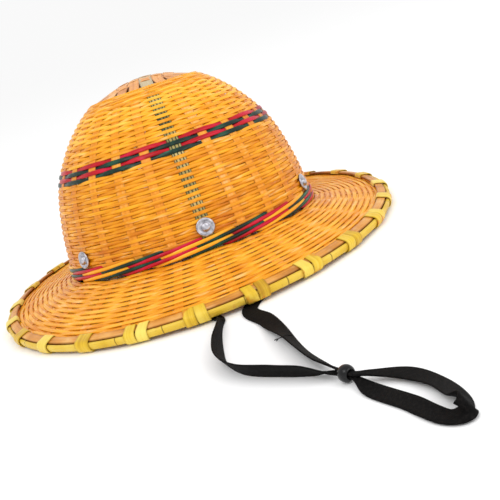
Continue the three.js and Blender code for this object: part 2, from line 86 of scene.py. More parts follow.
# The strap's route, as in the CAD model. Each row is x, y, z in metres, bank in degrees, width
# as a share of the whole, and hang, from 0 on the floor to 1 down the inside of the crown.
STRAP_ROUTE = [
    (-0.0829, 0.0363, 0.0271, 0, 1, 1),
    (-0.0832, 0.0346, 0.0092, 0, 1, 1),
    (-0.0896, 0.0362, 0.0026, 0, 1, 0.3),
    (-0.1035, 0.0325, 0.00085, 0, 1, 0),
    (-0.113, 0.002, 0.00075, 0, 1, 0),
    (-0.096, -0.065, 0.0007, 0, 1, 0),
    (-0.046, -0.1185, 0.0007, 0, 1, 0),
    (0.002, -0.143, 0.00085, 0, 0.7, 0),
    (0.0074, -0.1525, 0.0015, -14, 0.5, 0),
    (0.0074, -0.162, 0.0035, -74, 0.6, 0),
    (0.0039, -0.198, 0.0049, -68, 1, 0),
    (0.0046, -0.2185, 0.0047, -60, 1, 0),
    (0.013, -0.2385, 0.0048, -62, 1, 0),
    (0.03, -0.2545, 0.0049, -64, 1, 0),
    (0.047, -0.2675, 0.0041, -50, 0.9, 0),
    (0.0572, -0.276, 0.0034, 0, 0.32, 0),
    (0.06, -0.2802, 0.00335, 0, 0.3, 0),
    (0.0628, -0.2855, 0.0033, 0, 0.32, 0),
    (0.067, -0.296, 0.0012, 0, 0.9, 0),
    (0.0785, -0.317, 0.0009, 0, 1, 0),
    (0.088, -0.337, 0.0011, 0, 1, 0),
    (0.094, -0.341, 0.0032, 25, 1, 0),
    (0.0965, -0.3385, 0.0052, 65, 1, 0),
    (0.096, -0.328, 0.0032, 25, 1, 0),
    (0.093, -0.311, 0.0022, 15, 1, 0),
    (0.084, -0.2955, 0.0025, 0, 0.95, 0),
    (0.07, -0.2875, 0.0042, 0, 0.5, 0),
    (0.0628, -0.2848, 0.00525, 0, 0.3, 0),
    (0.06, -0.2802, 0.00525, 0, 0.3, 0),
    (0.057, -0.2745, 0.0052, 40, 0.34, 0),
    (0.051, -0.259, 0.0044, 40, 0.8, 0),
    (0.0455, -0.24, 0.0043, 45, 0.95, 0),
    (0.0415, -0.22, 0.0039, 40, 1, 0),
    (0.0335, -0.181, 0.0022, -10, 1, 0),
    (0.026, -0.1505, 0.00072, 0, 1, 0),
    (0.06, -0.1075, 0.001, 0, 1, 0),
    (0.096, -0.052, 0.0012, 0, 1, 0),
    (0.092, -0.036, 0.0044, 0, 1, 0.3),
    (0.0855, -0.0322, 0.013, 0, 1, 1),
    (0.0855, -0.0304, 0.032, 0, 1, 1),
]
STRAP_WIDTH = 10 * MM
STRAP_THICKNESS = 1.0 * MM
STRAP_GATHER = 0.43                     # how much thicker the webbing is where it is gathered in
FLOOR_GAP = 0.05 * MM
THREAD_START = np.array([0.0436, -0.2235, 0.006])
BEAD_CENTRE = Vector((0.06, -0.2802, 0.0043))
BEAD_AXIS = Vector((5.6, -9.5, 0))
BEAD_RADIUS = 4.2 * MM
BEAD_HOLE_RADIUS = 2.4 * MM

# --- Camera --------------------------------------------------------------------------

CAMERA_ELEVATION = math.radians(16.6)
CAMERA_ROLL = math.radians(19.48)
CAMERA_DISTANCE = 0.65
CAMERA_TARGET = Vector((0.0377, 0, -0.0097))
CAMERA_LENS = 60.47
CAMERA_SENSOR = 36


def add_camera():
    look = Vector((0, math.cos(CAMERA_ELEVATION), -math.sin(CAMERA_ELEVATION)))
    side = Vector((1, 0, 0))
    lift = side.cross(look)
    right = math.cos(CAMERA_ROLL) * side - math.sin(CAMERA_ROLL) * lift
    up = math.sin(CAMERA_ROLL) * side + math.cos(CAMERA_ROLL) * lift
    data = bpy.data.cameras.new("camera")
    data.lens = CAMERA_LENS
    data.sensor_width = CAMERA_SENSOR
    camera = bpy.data.objects.new("camera", data)
    turn = Matrix((right, up, -look)).transposed().to_4x4()
    camera.matrix_world = Matrix.Translation(CAMERA_TARGET - CAMERA_DISTANCE * look) @ turn
    bpy.context.collection.objects.link(camera)
    bpy.context.scene.camera = camera


add_camera()

# --- Mesh helpers --------------------------------------------------------------------


def unit(v):
    return v / np.linalg.norm(v, axis=-1, keepdims=True)


def run_length(points):
    """Metres along a line of points, from 0 at the first."""
    return np.concatenate([[0], np.cumsum(np.linalg.norm(np.diff(points, axis=0), axis=1))])


def catmull_rom(rows, steps):
    """A smooth curve through the rows, with so many steps between each two.

    Rows may hold any columns. The first three are a place, which sets the spacing.
    """
    rows = np.asarray(rows, float)
    ends = np.vstack([2 * rows[0] - rows[1], rows, 2 * rows[-1] - rows[-2]])
    out = []
    for i in range(len(rows) - 1):
        a, b, c, d = ends[i:i + 4]
        gaps = [max(np.linalg.norm((q - p)[:3]), 1e-9) ** 0.5 for p, q in ((a, b), (b, c), (c, d))]
        knots = np.cumsum([0] + gaps)
        for t in np.linspace(knots[1], knots[2], steps, endpoint=False):
            ab = a + (b - a) * (t - knots[0]) / (knots[1] - knots[0])
            bc = b + (c - b) * (t - knots[1]) / (knots[2] - knots[1])
            cd = c + (d - c) * (t - knots[2]) / (knots[3] - knots[2])
            abc = ab + (bc - ab) * (t - knots[0]) / (knots[2] - knots[0])
            bcd = bc + (cd - bc) * (t - knots[1]) / (knots[3] - knots[1])
            out.append(abc + (bcd - abc) * (t - knots[1]) / (knots[2] - knots[1]))
    out.append(rows[-1])
    return np.array(out)


def root_piece(name, mesh):
    """An object of this mesh that rides on the hat's one body."""
    obj = bpy.data.objects.new(name, mesh)
    bpy.context.collection.objects.link(obj)
    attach(obj, "root")
    return obj


def tube_faces(rings, sides, closed=False):
    """Quads of a tube of so many rings, and its two end caps if it doesn't close on itself."""
    i = np.arange(rings if closed else rings - 1)[:, None]
    j = np.arange(sides)[None, :]
    k = (j + 1) % sides
    m = (i + 1) % rings
    corners = [i * sides + j, m * sides + j, m * sides + k, i * sides + k]
    quads = np.stack(corners, -1).reshape(-1, 4)
    if closed:
        return quads, []
    return quads, [list(range(sides))[::-1], [(rings - 1) * sides + q for q in range(sides)]]


class Strands:
    """Gathers strands into one mesh.

    Each vertex keeps 'run': metres along, place across from -1 to 1, and its strand's tone.
    """

    def __init__(self, seed):
        self.verts = []
        self.faces = []
        self.runs = []
        self.slots = []
        self.total = 0
        self.random = np.random.default_rng(seed)

    def keep(self, rings, middle, columns, tone, slot, closed, inside_out):
        """Adds one strand's rings, with its middle line and each column's place across."""
        n, sides, _ = rings.shape
        quads, ends = tube_faces(n, sides, closed)
        if inside_out:
            quads = quads[:, ::-1]
            ends = [e[::-1] for e in ends]
        self.verts.append(rings.reshape(-1, 3))
        self.faces.extend((quads + self.total).tolist())
        self.faces.extend([[q + self.total for q in e] for e in ends])
        self.slots.extend([slot] * (len(quads) + len(ends)))
        run = np.zeros((n, sides, 3))
        run[..., 0] = run_length(middle)[:, None]
        run[..., 1] = columns[None, :]
        run[..., 2] = tone
        self.runs.append(run.reshape(-1, 3))
        self.total += n * sides

    def add(self, points, across, out, half_width, half_depth, sides=8, closed=True, square=0.75,
            slot=0, tone=None):
        """Sweeps a rounded section along points. across and out are unit rows, one a point."""
        points = np.asarray(points, float)
        n = len(points)
        angle = 2 * math.pi * (np.arange(sides) + 0.5) / sides
        u = np.sign(np.cos(angle)) * np.abs(np.cos(angle)) ** square
        v = np.sign(np.sin(angle)) * np.abs(np.sin(angle)) ** square
        u = u / np.abs(u).max()
        v = v / np.abs(v).max()
        wide = across[:, None] * u[None, :, None] * np.broadcast_to(half_width, n)[:, None, None]
        deep = out[:, None] * v[None, :, None] * np.broadcast_to(half_depth, n)[:, None, None]
        along = np.diff(points, axis=0)
        spin = np.einsum("ij,ij->i", np.cross(along, across[:-1]), out[:-1]).sum()
        if tone is None:
            tone = self.random.random()
        self.keep(points[:, None] + wide + deep, points, u, tone, slot, closed, spin < 0)

    def skin(self, rings, columns, tone):
        """Joins rings of points, given as (ring, point, xyz), into one capped strand.

        Each ring runs over the columns, which are places across, and back.
        """
        n, sides, _ = rings.shape
        quads, _ = tube_faces(n, sides)
        a, b, c = (rings.reshape(-1, 3)[quads[:, i]] - rings[0, 0] for i in range(3))
        volume = np.einsum("ij,ij->i", a, np.cross(b, c)).sum()
        columns = np.concatenate([columns, columns[::-1]])
        self.keep(rings, rings.mean(axis=1), columns, tone, 0, False, volume < 0)

    def build(self, name, materials):
        mesh = bpy.data.meshes.new(name)
        mesh.from_pydata(np.concatenate(self.verts).tolist(), [], self.faces)
        attribute = mesh.attributes.new("run", "FLOAT_VECTOR", "POINT")
        runs = np.concatenate(self.runs).astype(np.float32)
        attribute.data.foreach_set("vector", runs.ravel())
        for material in materials:
            mesh.materials.append(material)
        mesh.polygons.foreach_set("material_index", self.slots)
        mesh.polygons.foreach_set("use_smooth", [True] * len(mesh.polygons))
        mesh.update()
        return root_piece(name, mesh)


def turned(name, outline, segments, material, place):
    """A turned piece from (radius, height) pairs round its own Z axis, set by a 4x4 place."""
    verts = []
    for radius, height in outline:
        for i in range(segments):
            a = 2 * math.pi * i / segments
            verts.append(place @ Vector((radius * math.cos(a), radius * math.sin(a), height)))
    faces = []
    for r in range(len(outline) - 1):
        for i in range(segments):
            k = (i + 1) % segments
            faces.append((r * segments + i, r * segments + k,
                          (r + 1) * segments + k, (r + 1) * segments + i))
    if outline[0] != outline[-1]:
        faces.append(tuple(range(segments))[::-1])
        faces.append(tuple((len(outline) - 1) * segments + i for i in range(segments)))
    mesh = bpy.data.meshes.new(name)
    mesh.from_pydata(verts, [], faces)
    mesh.materials.append(material)
    mesh.polygons.foreach_set("use_smooth", [True] * len(mesh.polygons))
    mesh.update()
    return root_piece(name, mesh)


# --- Materials -----------------------------------------------------------------------

BUMP_DEPTH = 0.2 * MM


class Shader:
    """A material and short calls that add its nodes."""

    def __init__(self, name):
        self.material = bpy.data.materials.new(name)
        self.material.use_nodes = True
        self.tree = self.material.node_tree
        self.surface = self.tree.nodes["Principled BSDF"]

    def link(self, source, target):
        self.tree.links.new(source, target)

    def node(self, kind, **settings):
        node = self.tree.nodes.new(kind)
        for key, value in settings.items():
            setattr(node, key, value)
        return node

    def value(self, socket, amount):
        """Sets a socket to a number or colour, or links it."""
        if isinstance(amount, bpy.types.NodeSocket):
            self.link(amount, socket)
        elif isinstance(amount, tuple) and len(amount) == 3 and socket.type == "RGBA":
            socket.default_value = (*amount, 1)
        else:
            socket.default_value = amount

    def math(self, operation, a, b=0.0):
        node = self.node("ShaderNodeMath", operation=operation)
        self.value(node.inputs[0], a)
        self.value(node.inputs[1], b)
        return node.outputs[0]

    def run(self):
        """Metres along a strand, place across it and its tone."""
        attribute = self.node("ShaderNodeAttribute", attribute_name="run")
        parts = self.node("ShaderNodeSeparateXYZ")
        self.link(attribute.outputs["Vector"], parts.inputs[0])
        return parts.outputs[0], parts.outputs[1], parts.outputs[2]

    def place(self):
        return self.node("ShaderNodeTexCoord").outputs["Object"]

    def vector(self, x, y, z):
        node = self.node("ShaderNodeCombineXYZ")
        for socket, amount in zip(node.inputs, (x, y, z)):
            self.value(socket, amount)
        return node.outputs[0]

    def noise(self, vector, scale, detail):
        node = self.node("ShaderNodeTexNoise")
        self.link(vector, node.inputs["Vector"])
        node.inputs["Scale"].default_value = scale
        node.inputs["Detail"].default_value = detail
        return node.outputs[0]

    def span(self, amount, low, high, to_low, to_high):
        """Carries low to high over to to_low to to_high, and holds what lies past them."""
        node = self.node("ShaderNodeMapRange")
        self.value(node.inputs["Value"], amount)
        limits = {"From Min": low, "From Max": high, "To Min": to_low, "To Max": to_high}
        for key, number in limits.items():
            node.inputs[key].default_value = number
        return node.outputs[0]

    def ramp(self, amount, stops):
        node = self.node("ShaderNodeValToRGB")
        self.value(node.inputs[0], amount)
        elements = node.color_ramp.elements
        while len(elements) < len(stops):
            elements.new(0.5)
        for element, (position, colour) in zip(elements, stops):
            element.position = position
            element.color = (*colour, 1)
        return node.outputs[0]

    def mix(self, amount, a, b):
        node = self.node("ShaderNodeMix", data_type="RGBA")
        self.value(node.inputs[0], amount)
        self.value(node.inputs[6], a)
        self.value(node.inputs[7], b)
        return node.outputs[2]

    def finish(self, colour, roughness, bump=None, strength=0.0, **sockets):
        self.value(self.surface.inputs["Base Color"], colour)
        self.value(self.surface.inputs["Roughness"], roughness)
        if bump is not None:
            node = self.node("ShaderNodeBump")
            node.inputs["Strength"].default_value = strength
            node.inputs["Distance"].default_value = BUMP_DEPTH
            self.link(bump, node.inputs["Height"])
            self.link(node.outputs[0], self.surface.inputs["Normal"])
        for key, amount in sockets.items():
            self.surface.inputs[key.replace("_", " ")].default_value = amount
        return self.material


def srgb(r, g, b):
    """A colour as seen on a screen, 0 to 255, as the linear numbers that a shader takes."""
    return tuple((c / 255 / 12.92) if c <= 10 else ((c / 255 + 0.055) / 1.055) ** 2.4
                 for c in (r, g, b))


def darker(share, colour):
    return tuple(share * c for c in colour)


def cane_material(name, tones, gloss=0.36, streak=0.22, edge=0.0, nodes=0.0, spots=None,
                  highlight_tint=None, lines=0.0):
    """Split bamboo. tones maps a strand's tone, from 0 to 1, to its colour on a screen.

    Streaks and fibres run along it. It may have painted shade along its edges, dark lines,
    nodes a given number of times a metre, painted highlights as pale streaks, and stained spots.
    """
    s = Shader(name)
    stops = [(position, srgb(*colour)) for position, colour in tones.items()]
    dark = stops[0][1]
    along, across, strand = s.run()
    shift = s.math("MULTIPLY", strand, 31.0)

    def grain(stretch, scale, detail):
        """Noise that changes along a strand and, by a small stretch, little across it."""
        return s.noise(s.vector(along, s.math("MULTIPLY", across, stretch), shift), scale, detail)

    slow = grain(0.002, 38.0, 3.0)
    tone = s.math("ADD", strand, s.span(slow, 0.3, 0.7, -streak, streak))
    drawn_out = s.vector(s.math("MULTIPLY", along, 12.0), s.math("MULTIPLY", across, 2.3), shift)
    splints = s.noise(drawn_out, 1.0, 2.0)
    tone = s.math("ADD", tone, s.span(splints, 0.3, 0.7, -0.14, 0.14))
    colour = s.ramp(tone, stops)
    fine = grain(0.012, 420.0, 3.0)
    colour = s.mix(s.span(fine, 0.58, 0.8, 0.0, 0.35), colour, dark)
    # Painted highlights: pale streaks of gloss, mixed into the cane's colour.
    if highlight_tint:
        painted_highlight = grain(0.006, 70.0, 2.0)
        colour = s.mix(s.span(painted_highlight, 0.58, 0.72, 0.0, 0.42), colour, srgb(*highlight_tint))
    if lines:
        bend = s.math("ADD", s.math("MULTIPLY", across, lines), s.math("MULTIPLY", slow, 3.0))
        colour = s.mix(s.span(s.math("SINE", bend), 0.1, 0.6, 0.0, 0.85), colour, dark)
    # Painted shade: the strip darkens towards its edges, as shade falls in the gaps between
    # strips.
    if edge:
        edge_shade = s.span(s.math("ABSOLUTE", across), 0.78, 1.0, 0.0, edge)
        colour = s.mix(edge_shade, colour, darker(0.4, dark))
    if nodes:
        drift = s.noise(s.vector(along, shift, 0.0), 14.0, 1.0)
        place = s.math("ADD", along, s.math("MULTIPLY", drift, 0.03))
        turn = s.math("FRACT", s.math("MULTIPLY", place, nodes))
        ring = s.math("LESS_THAN", s.math("ABSOLUTE", s.math("SUBTRACT", turn, 0.5)), 0.012)
        colour = s.mix(s.math("MULTIPLY", ring, 0.75), colour, darker(0.35, dark))
    if spots:
        stain = grain(0.004, 95.0, 2.0)
        colour = s.mix(s.span(stain, 0.62, 0.72, 0.0, 0.75), colour, srgb(*spots))
    rough = s.span(fine, 0.3, 0.7, gloss - 0.06, gloss + 0.14)
    bump = s.math("ADD", splints, s.math("MULTIPLY", fine, 0.4))
    return s.finish(colour, rough, bump, 0.4, Coat_Weight=0.07, Coat_Roughness=0.2,
                    Specular_IOR_Level=0.24)


# The pale colours given below are painted highlights; edge sets painted shade along a strip's
# edges.
weaver_cane = cane_material(
    "weaver_cane",
    {0.0: (194, 102, 4), 0.3: (226, 144, 10), 0.6: (246, 172, 30), 1.0: (254, 208, 84)},
    highlight_tint=(255, 222, 150))
brim_cane = cane_material(
    "brim_cane",
    {0.0: (190, 98, 8), 0.3: (230, 144, 20), 0.6: (246, 176, 44), 1.0: (252, 206, 98)},
    highlight_tint=(255, 220, 160))
stake_cane = cane_material(
    "stake_cane", {0.0: (206, 116, 12), 0.5: (236, 156, 44), 1.0: (246, 206, 140)}, edge=0.5)
olive_cane = cane_material(
    "olive_cane", {0.0: (34, 40, 26), 0.5: (160, 146, 84), 1.0: (214, 190, 124)},
    streak=0.5, edge=0.9, lines=11.0)
red_cane = cane_material(
    "red_cane", {0.0: (110, 2, 12), 0.5: (186, 0, 20), 1.0: (214, 24, 76)},
    gloss=0.3, streak=0.35, highlight_tint=(232, 70, 110))
green_cane = cane_material(
    "green_cane", {0.0: (8, 16, 14), 0.5: (8, 38, 28), 1.0: (30, 96, 70)},
    gloss=0.3, streak=0.4, highlight_tint=(84, 150, 124))
star_cane = cane_material(
    "star_cane", {0.0: (178, 98, 36), 0.5: (234, 162, 84), 1.0: (246, 196, 132)}, edge=0.85)
grey_cane = cane_material(
    "grey_cane", {0.0: (140, 116, 84), 0.5: (186, 164, 126), 1.0: (206, 190, 152)}, edge=0.5)
hoop_cane = cane_material(
    "hoop_cane", {0.0: (140, 78, 20), 0.5: (214, 144, 60), 1.0: (240, 190, 112)},
    streak=0.4, edge=0.45, highlight_tint=(240, 200, 140))
yellow_cane = cane_material(
    "yellow_cane", {0.0: (176, 126, 16), 0.4: (224, 184, 44), 1.0: (242, 218, 104)},
    streak=0.3, edge=0.35, spots=(206, 116, 20))
edge_cane = cane_material(
    "edge_cane", {0.0: (160, 112, 20), 0.4: (220, 180, 48), 1.0: (240, 216, 108)},
    nodes=34.0, spots=(196, 116, 30))


def webbing_material():
    s = Shader("webbing")
    along, across, _ = s.run()
    picks = s.math("SINE", s.math("MULTIPLY", along, 5200.0))
    cords = s.math("SINE", s.math("MULTIPLY", across, 38.0))
    weave = s.math("MULTIPLY", picks, cords)
    lint = s.noise(s.place(), 700.0, 3.0)
    colour = s.mix(s.span(lint, 0.45, 0.75, 0.0, 1.0), srgb(5, 4, 4), srgb(24, 21, 20))
    return s.finish(colour, 0.8, weave, 0.5, Specular_IOR_Level=0.12)


def bead_material():
    s = Shader("bead_gloss")
    scuff = s.noise(s.place(), 500.0, 4.0)
    rough = s.span(scuff, 0.4, 0.7, 0.16, 0.36)
    return s.finish(srgb(9, 9, 10), rough, scuff, 0.1, Specular_IOR_Level=0.3)


def steel_material():
    s = Shader("rivet_metal")
    cloud = s.noise(s.place(), 420.0, 4.0)
    shade = s.span(cloud, 0.35, 0.65, 0.0, 1.0)
    colour = s.mix(shade, srgb(150, 148, 156), srgb(205, 203, 210))
    return s.finish(colour, s.span(cloud, 0.3, 0.7, 0.22, 0.42), cloud, 0.2, Metallic=1.0)


webbing = webbing_material()
bead_gloss = bead_material()
rivet_metal = steel_material()

# --- Chin strap and bead -------------------------------------------------------------


def chin_strap():
    """The strap's piece and the middle line that it is swept along."""
    rows = catmull_rom(STRAP_ROUTE, 8)
    points = rows[:, :3]
    share = rows[:, 4]
    along = unit(np.gradient(points, axis=0))
    flat = unit(points * [1, 1, 0])
    face = flat * rows[:, 5:6] + [0, 0, 1]
    across = unit(np.cross(along, face))
    bank = np.radians(rows[:, 3:4])
    across = across * np.cos(bank) + np.cross(along, across) * np.sin(bank)
    out = unit(np.cross(along, across))
    half_width = STRAP_WIDTH / 2 * share
    half_depth = STRAP_THICKNESS / 2 * (1 + STRAP_GATHER - STRAP_GATHER * share)
    # The webbing lies on the floor, so its middle line is never lower than its own edge reaches.
    reach = half_width * np.abs(across[:, 2]) + half_depth * np.abs(out[:, 2])
    points[:, 2] = np.maximum(points[:, 2], reach + FLOOR_GAP)
    strands = Strands(2)
    strands.add(points, across, out, half_width, half_depth, sides=12, closed=False, square=0.35)
    strap = strands.build("chin_strap_webbing", [webbing])
    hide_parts("chin_strap")
    return strap, points


def strap_bead():
    """A ball, cut flat where its hole comes out."""
    edge = math.acos(BEAD_HOLE_RADIUS / BEAD_RADIUS)
    outline = [(BEAD_RADIUS * math.cos(a), BEAD_RADIUS * math.sin(a))
               for a in np.linspace(-edge, edge, 20)]
    outline += [(BEAD_HOLE_RADIUS, BEAD_RADIUS * math.sin(edge) * (1 - 2 * i / 6))
                for i in range(1, 6)]
    outline.append(outline[0])
    turn = Vector((0, 0, 1)).rotation_difference(BEAD_AXIS).to_matrix().to_4x4()
    bead = turned("bead", outline, 40, bead_gloss, Matrix.Translation(BEAD_CENTRE) @ turn)
    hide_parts("strap_bead")
    return bead


def loose_thread():
    """A frayed end that stands off the strap's edge and splits in two."""
    strands = Strands(3)
    radius = 0.22 * MM
    arch = 1.1 * MM
    waver = 0.5 * MM
    stem = np.array([-9.6, 0.4, 0.6]) * MM
    branch = np.array([-8.8, 2.4, -0.9]) * MM
    for tip, start in ((stem, 0.0), (branch, 0.8)):
        t = np.linspace(0, 1, 14)[:, None]
        points = THREAD_START + start * stem + (tip - start * stem) * t
        points[:, 2] += arch * np.sin(math.pi * t[:, 0]) * (1 - start)
        points[:, 1] += waver * np.sin(2.4 * math.pi * t[:, 0])
        along = unit(np.gradient(points, axis=0))
        across = unit(np.cross(along, [0, 0, 1.0]))
        out = np.cross(across, along)
        strands.add(points, across, out, radius, radius, sides=5, closed=False)
    thread = strands.build("strap_thread", [webbing])


strap, strap_path = chin_strap()
loose_thread()
bead = strap_bead()

# --- Surfaces ------------------------------------------------------------------------

UP = np.array([0, 0, 1.0])
BRIM_FOOT_IN = 1.0 * MM                 # how far the brim starts inside its root
BRIM_FOOT_DOWN = 1.2 * MM               # how far it starts under the crown's foot
BRIM_EDGE_GAP = 0.3 * MM                # how far it stops short of the rim
lean_back = Matrix.Rotation(CROWN_LEAN_BACK, 3, "X")
crown_turn = np.array(lean_back @ Matrix.Rotation(CROWN_LEAN_SIDE, 3, "Y"))


def from_crown(points):
    """Points of the leaning crown's frame, in the hat's frame."""
    return points @ crown_turn.T + [CROWN_SHIFT, 0, 0]


def ring_direction(theta):
    return np.stack([np.cos(theta), np.sin(theta), np.zeros_like(theta)], -1)


class Crown:
    """The middle of the crown's wall. Levels are metres along its outline, from its foot."""

    def __init__(self):
        profile = [(radius * MM, height * MM, 0) for height, radius in CROWN_PROFILE]
        outer = catmull_rom(profile, 16)[:, :2]
        self.slope = unit(np.gradient(outer, axis=0))
        out = np.stack([self.slope[:, 1], -self.slope[:, 0]], -1)
        self.middle = outer - out * WALL / 2
        self.level = run_length(self.middle)

    def level_at(self, height):
        return float(np.interp(height, self.middle[:, 1], self.level))

    def at(self, theta, level, depth):
        """Places at angles and levels, depth outside the wall's middle.

        With them come the ways up the wall and out of it.
        """
        level = np.broadcast_to(level, theta.shape)
        columns = np.concatenate([self.middle, self.slope], 1).T
        radius, height, up_r, up_z = [np.interp(level, self.level, c)[:, None] for c in columns]
        ring = ring_direction(theta)
        up = ring * up_r + UP * up_z
        out = ring * up_z - UP * up_r
        depth = np.broadcast_to(depth, theta.shape)[:, None]
        place = ring * radius + UP * height + out * depth
        return from_crown(place), up @ crown_turn.T, out @ crown_turn.T


def rim_wave(theta):
    return RIM_WAVE * (1 + np.cos(3 * (theta - FRONT_STAKE - WRAP_SHIFT))) / 2


def rim_point(theta, out, up):
    """Places beside the brim's edge: out runs down its slope and up stands square to it."""
    radius = RIM_RADIUS + out * math.cos(RIM_TILT) + up * math.sin(RIM_TILT)
    height = RIM_CENTRE - out * math.sin(RIM_TILT) + up * math.cos(RIM_TILT) + rim_wave(theta)
    radius = np.broadcast_to(radius, theta.shape)[:, None]
    return ring_direction(theta) * radius + np.stack([0 * theta, 0 * theta, height], -1)


class Brim:
    """The middle of the brim. Levels are shares of the way from the crown's foot to the edge."""

    def __init__(self):
        self.share = np.linspace(0, 1, 60)
        theta = np.full(len(self.share), FRONT_STAKE + SPACING)
        _, line = self.bezier(theta, self.share[:, None])
        length = run_length(line)
        self.level = length / length[-1]

    @staticmethod
    def bezier(theta, t):
        """The way down the brim, and the places, at a share t of its curve."""
        foot = ring_direction(theta) * (BRIM_ROOT_RADIUS - BRIM_FOOT_IN)
        foot = from_crown(foot + UP * (CROWN_BASE - BRIM_FOOT_DOWN))
        bend = rim_point(theta, -BRIM_STRAIGHT, 0.0)
        edge = rim_point(theta, -BRIM_EDGE_GAP, 0.0)
        along = unit(2 * (1 - t) * (bend - foot) + 2 * t * (edge - bend))
        return along, (1 - t) ** 2 * foot + 2 * t * (1 - t) * bend + t ** 2 * edge

    def at(self, theta, level, depth):
        """Places at angles and levels, depth above the brim's middle.

        With them come the ways down the brim and out of it.
        """
        t = np.interp(np.broadcast_to(level, theta.shape), self.level, self.share)
        along, middle = self.bezier(theta, t[:, None])
        out = unit(np.cross(along, np.cross(UP, ring_direction(theta))))
        out = out * np.sign(out[:, 2:3])
        return middle + out * np.broadcast_to(depth, theta.shape)[:, None], along, out


crown = Crown()
brim = Brim()

# --- Weaving -------------------------------------------------------------------------

noise = np.random.default_rng(7)
WOBBLE_WAVES = 5
WEAVE_SHARPNESS = 1.6                   # how quickly a weaver crosses from face to face
WEAVER_SPREAD = 0.08                    # how much wider a weaver is over a stake
STAKE_STEPS = 40


def wobble(theta, size):
    """A gentle unevenness that closes on itself round the hat."""
    total = np.zeros_like(theta)
    for _ in range(WOBBLE_WAVES):
        total += np.sin(int(noise.integers(2, 19)) * theta + noise.random() * 2 * math.pi)
    return size * total / WOBBLE_WAVES ** 0.5


def weave_row(strands, surface, level, parity, width, thickness, swing, proud, tone, uneven,
              slot=0, steps=8):
    """One weaver round the hat, over the even stakes if parity is even."""
    k = np.arange(STAKES * steps) / steps
    theta = FRONT_STAKE + k * SPACING
    wave = np.tanh(WEAVE_SHARPNESS * np.cos(math.pi * (k + parity))) / math.tanh(WEAVE_SHARPNESS)
    points, up, out = surface.at(theta, level + wobble(theta, uneven), proud + swing * wave)
    half = width / 2 * (1 + WEAVER_SPREAD * wave)
    strands.add(points, up, out, half, thickness / 2, square=0.6, slot=slot, tone=tone)


def stake(strands, surface, index, top, width, thickness, proud, tone, slot=0):
    """One strip that runs across the weavers, from level 0 to the level top."""
    level = np.linspace(0.0, top, STAKE_STEPS)
    theta = np.full(STAKE_STEPS, FRONT_STAKE + index * SPACING)
    points, up, out = surface.at(theta, level, proud)
    across = unit(np.cross(up, out))
    strands.add(points, across, out, width / 2, thickness / 2, closed=False, square=0.4,
                slot=slot, tone=tone)


ROW_PITCH = 2.2 * MM
WEAVER_THICKNESS = 1.1 * MM
STAKE_THICKNESS = 0.8 * MM
CROWN_SWING = 0.58 * MM
CROWN_PROUD = WALL / 2 - WEAVER_THICKNESS / 2 - CROWN_SWING
# How pale some stakes are, from 0 to 1, by their number from the front stake.
STAKE_TONES = {1: 0.55, 2: 0.4, 20: 0.3, 21: 0.38, 22: 0.42, 23: 0.34}
ROW_UNEVEN = 0.12 * MM
BAND_ROWS = 4
BAND_PROUD = 0.15 * MM
BAND_UNEVEN = 0.08 * MM
FINE_ROWS = 10
FINE_PITCH = 1.2 * MM
FINE_WIDTH = 1.35 * FINE_PITCH
FINE_THICKNESS = 1.0 * MM
FINE_SWING = 0.3 * MM
FINE_PROUD = 0.6 * MM
FINE_UNEVEN = 0.22 * MM
TWIST_WIDTH = 1.6 * MM
TWISTS = 60
TWIST_RISE = 0.35 * MM
TWIST_PROUD = 0.3 * MM
TWIST_SWING = 0.45 * MM
fine_bottom = crown.level[-1] - FINE_ROWS * FINE_PITCH - TWIST_WIDTH


def plain_rows(strands, start, end, parity, tone, change, scatter):
    """Rows that fill the crown from the dyed band's edge, at start, to end."""
    count = round(abs(end - start) / ROW_PITCH)
    for i in range(count):
        level = start + (i + 0.5) * (end - start) / count
        row_tone = tone + change * i / count + scatter * noise.standard_normal()
        weave_row(strands, crown, level, i + parity, ROW_PITCH, WEAVER_THICKNESS, CROWN_SWING,
                  CROWN_PROUD, tone=row_tone, uneven=ROW_UNEVEN)


def crown_weave():
    band_low = crown.level_at(UPPER_BAND[0])
    band_high = crown.level_at(UPPER_BAND[1])
    strands = Strands(11)
    plain_rows(strands, band_low, crown.level_at(LOWER_BAND_TOP), 1, 0.42, -0.18, 0.06)
    plain_rows(strands, band_high, fine_bottom, BAND_ROWS, 0.46, 0.3, 0.07)
    weave = strands.build("crown_weavers", [weaver_cane])
    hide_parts("crown_wall")
    band = Strands(12)
    pitch = (band_high - band_low) / BAND_ROWS
    for i in range(BAND_ROWS):
        weave_row(band, crown, band_low + (i + 0.5) * pitch, i, pitch, WEAVER_THICKNESS,
                  CROWN_SWING, CROWN_PROUD + BAND_PROUD, tone=0.5, uneven=BAND_UNEVEN,
                  slot=(i + 1) % 2)
    band_piece = band.build("upper_band_weavers", [red_cane, green_cane])
    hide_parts("upper_band")


def crown_stakes():
    """The crown's upright strips. The front one is wider and olive."""
    strands = Strands(13)
    top = crown.level[-1] - 0.5 * MM
    for k in range(STAKES):
        width, tone, slot = CROWN_STAKE_WIDTH, STAKE_TONES.get(k, 0.22), 0
        if k == 0:
            width, tone, slot = STAKE_WIDTH, 0.5, 1
        stake(strands, crown, k, top, width, STAKE_THICKNESS, CROWN_PROUD, tone, slot)
    stakes = strands.build("crown_stakes", [stake_cane, olive_cane])


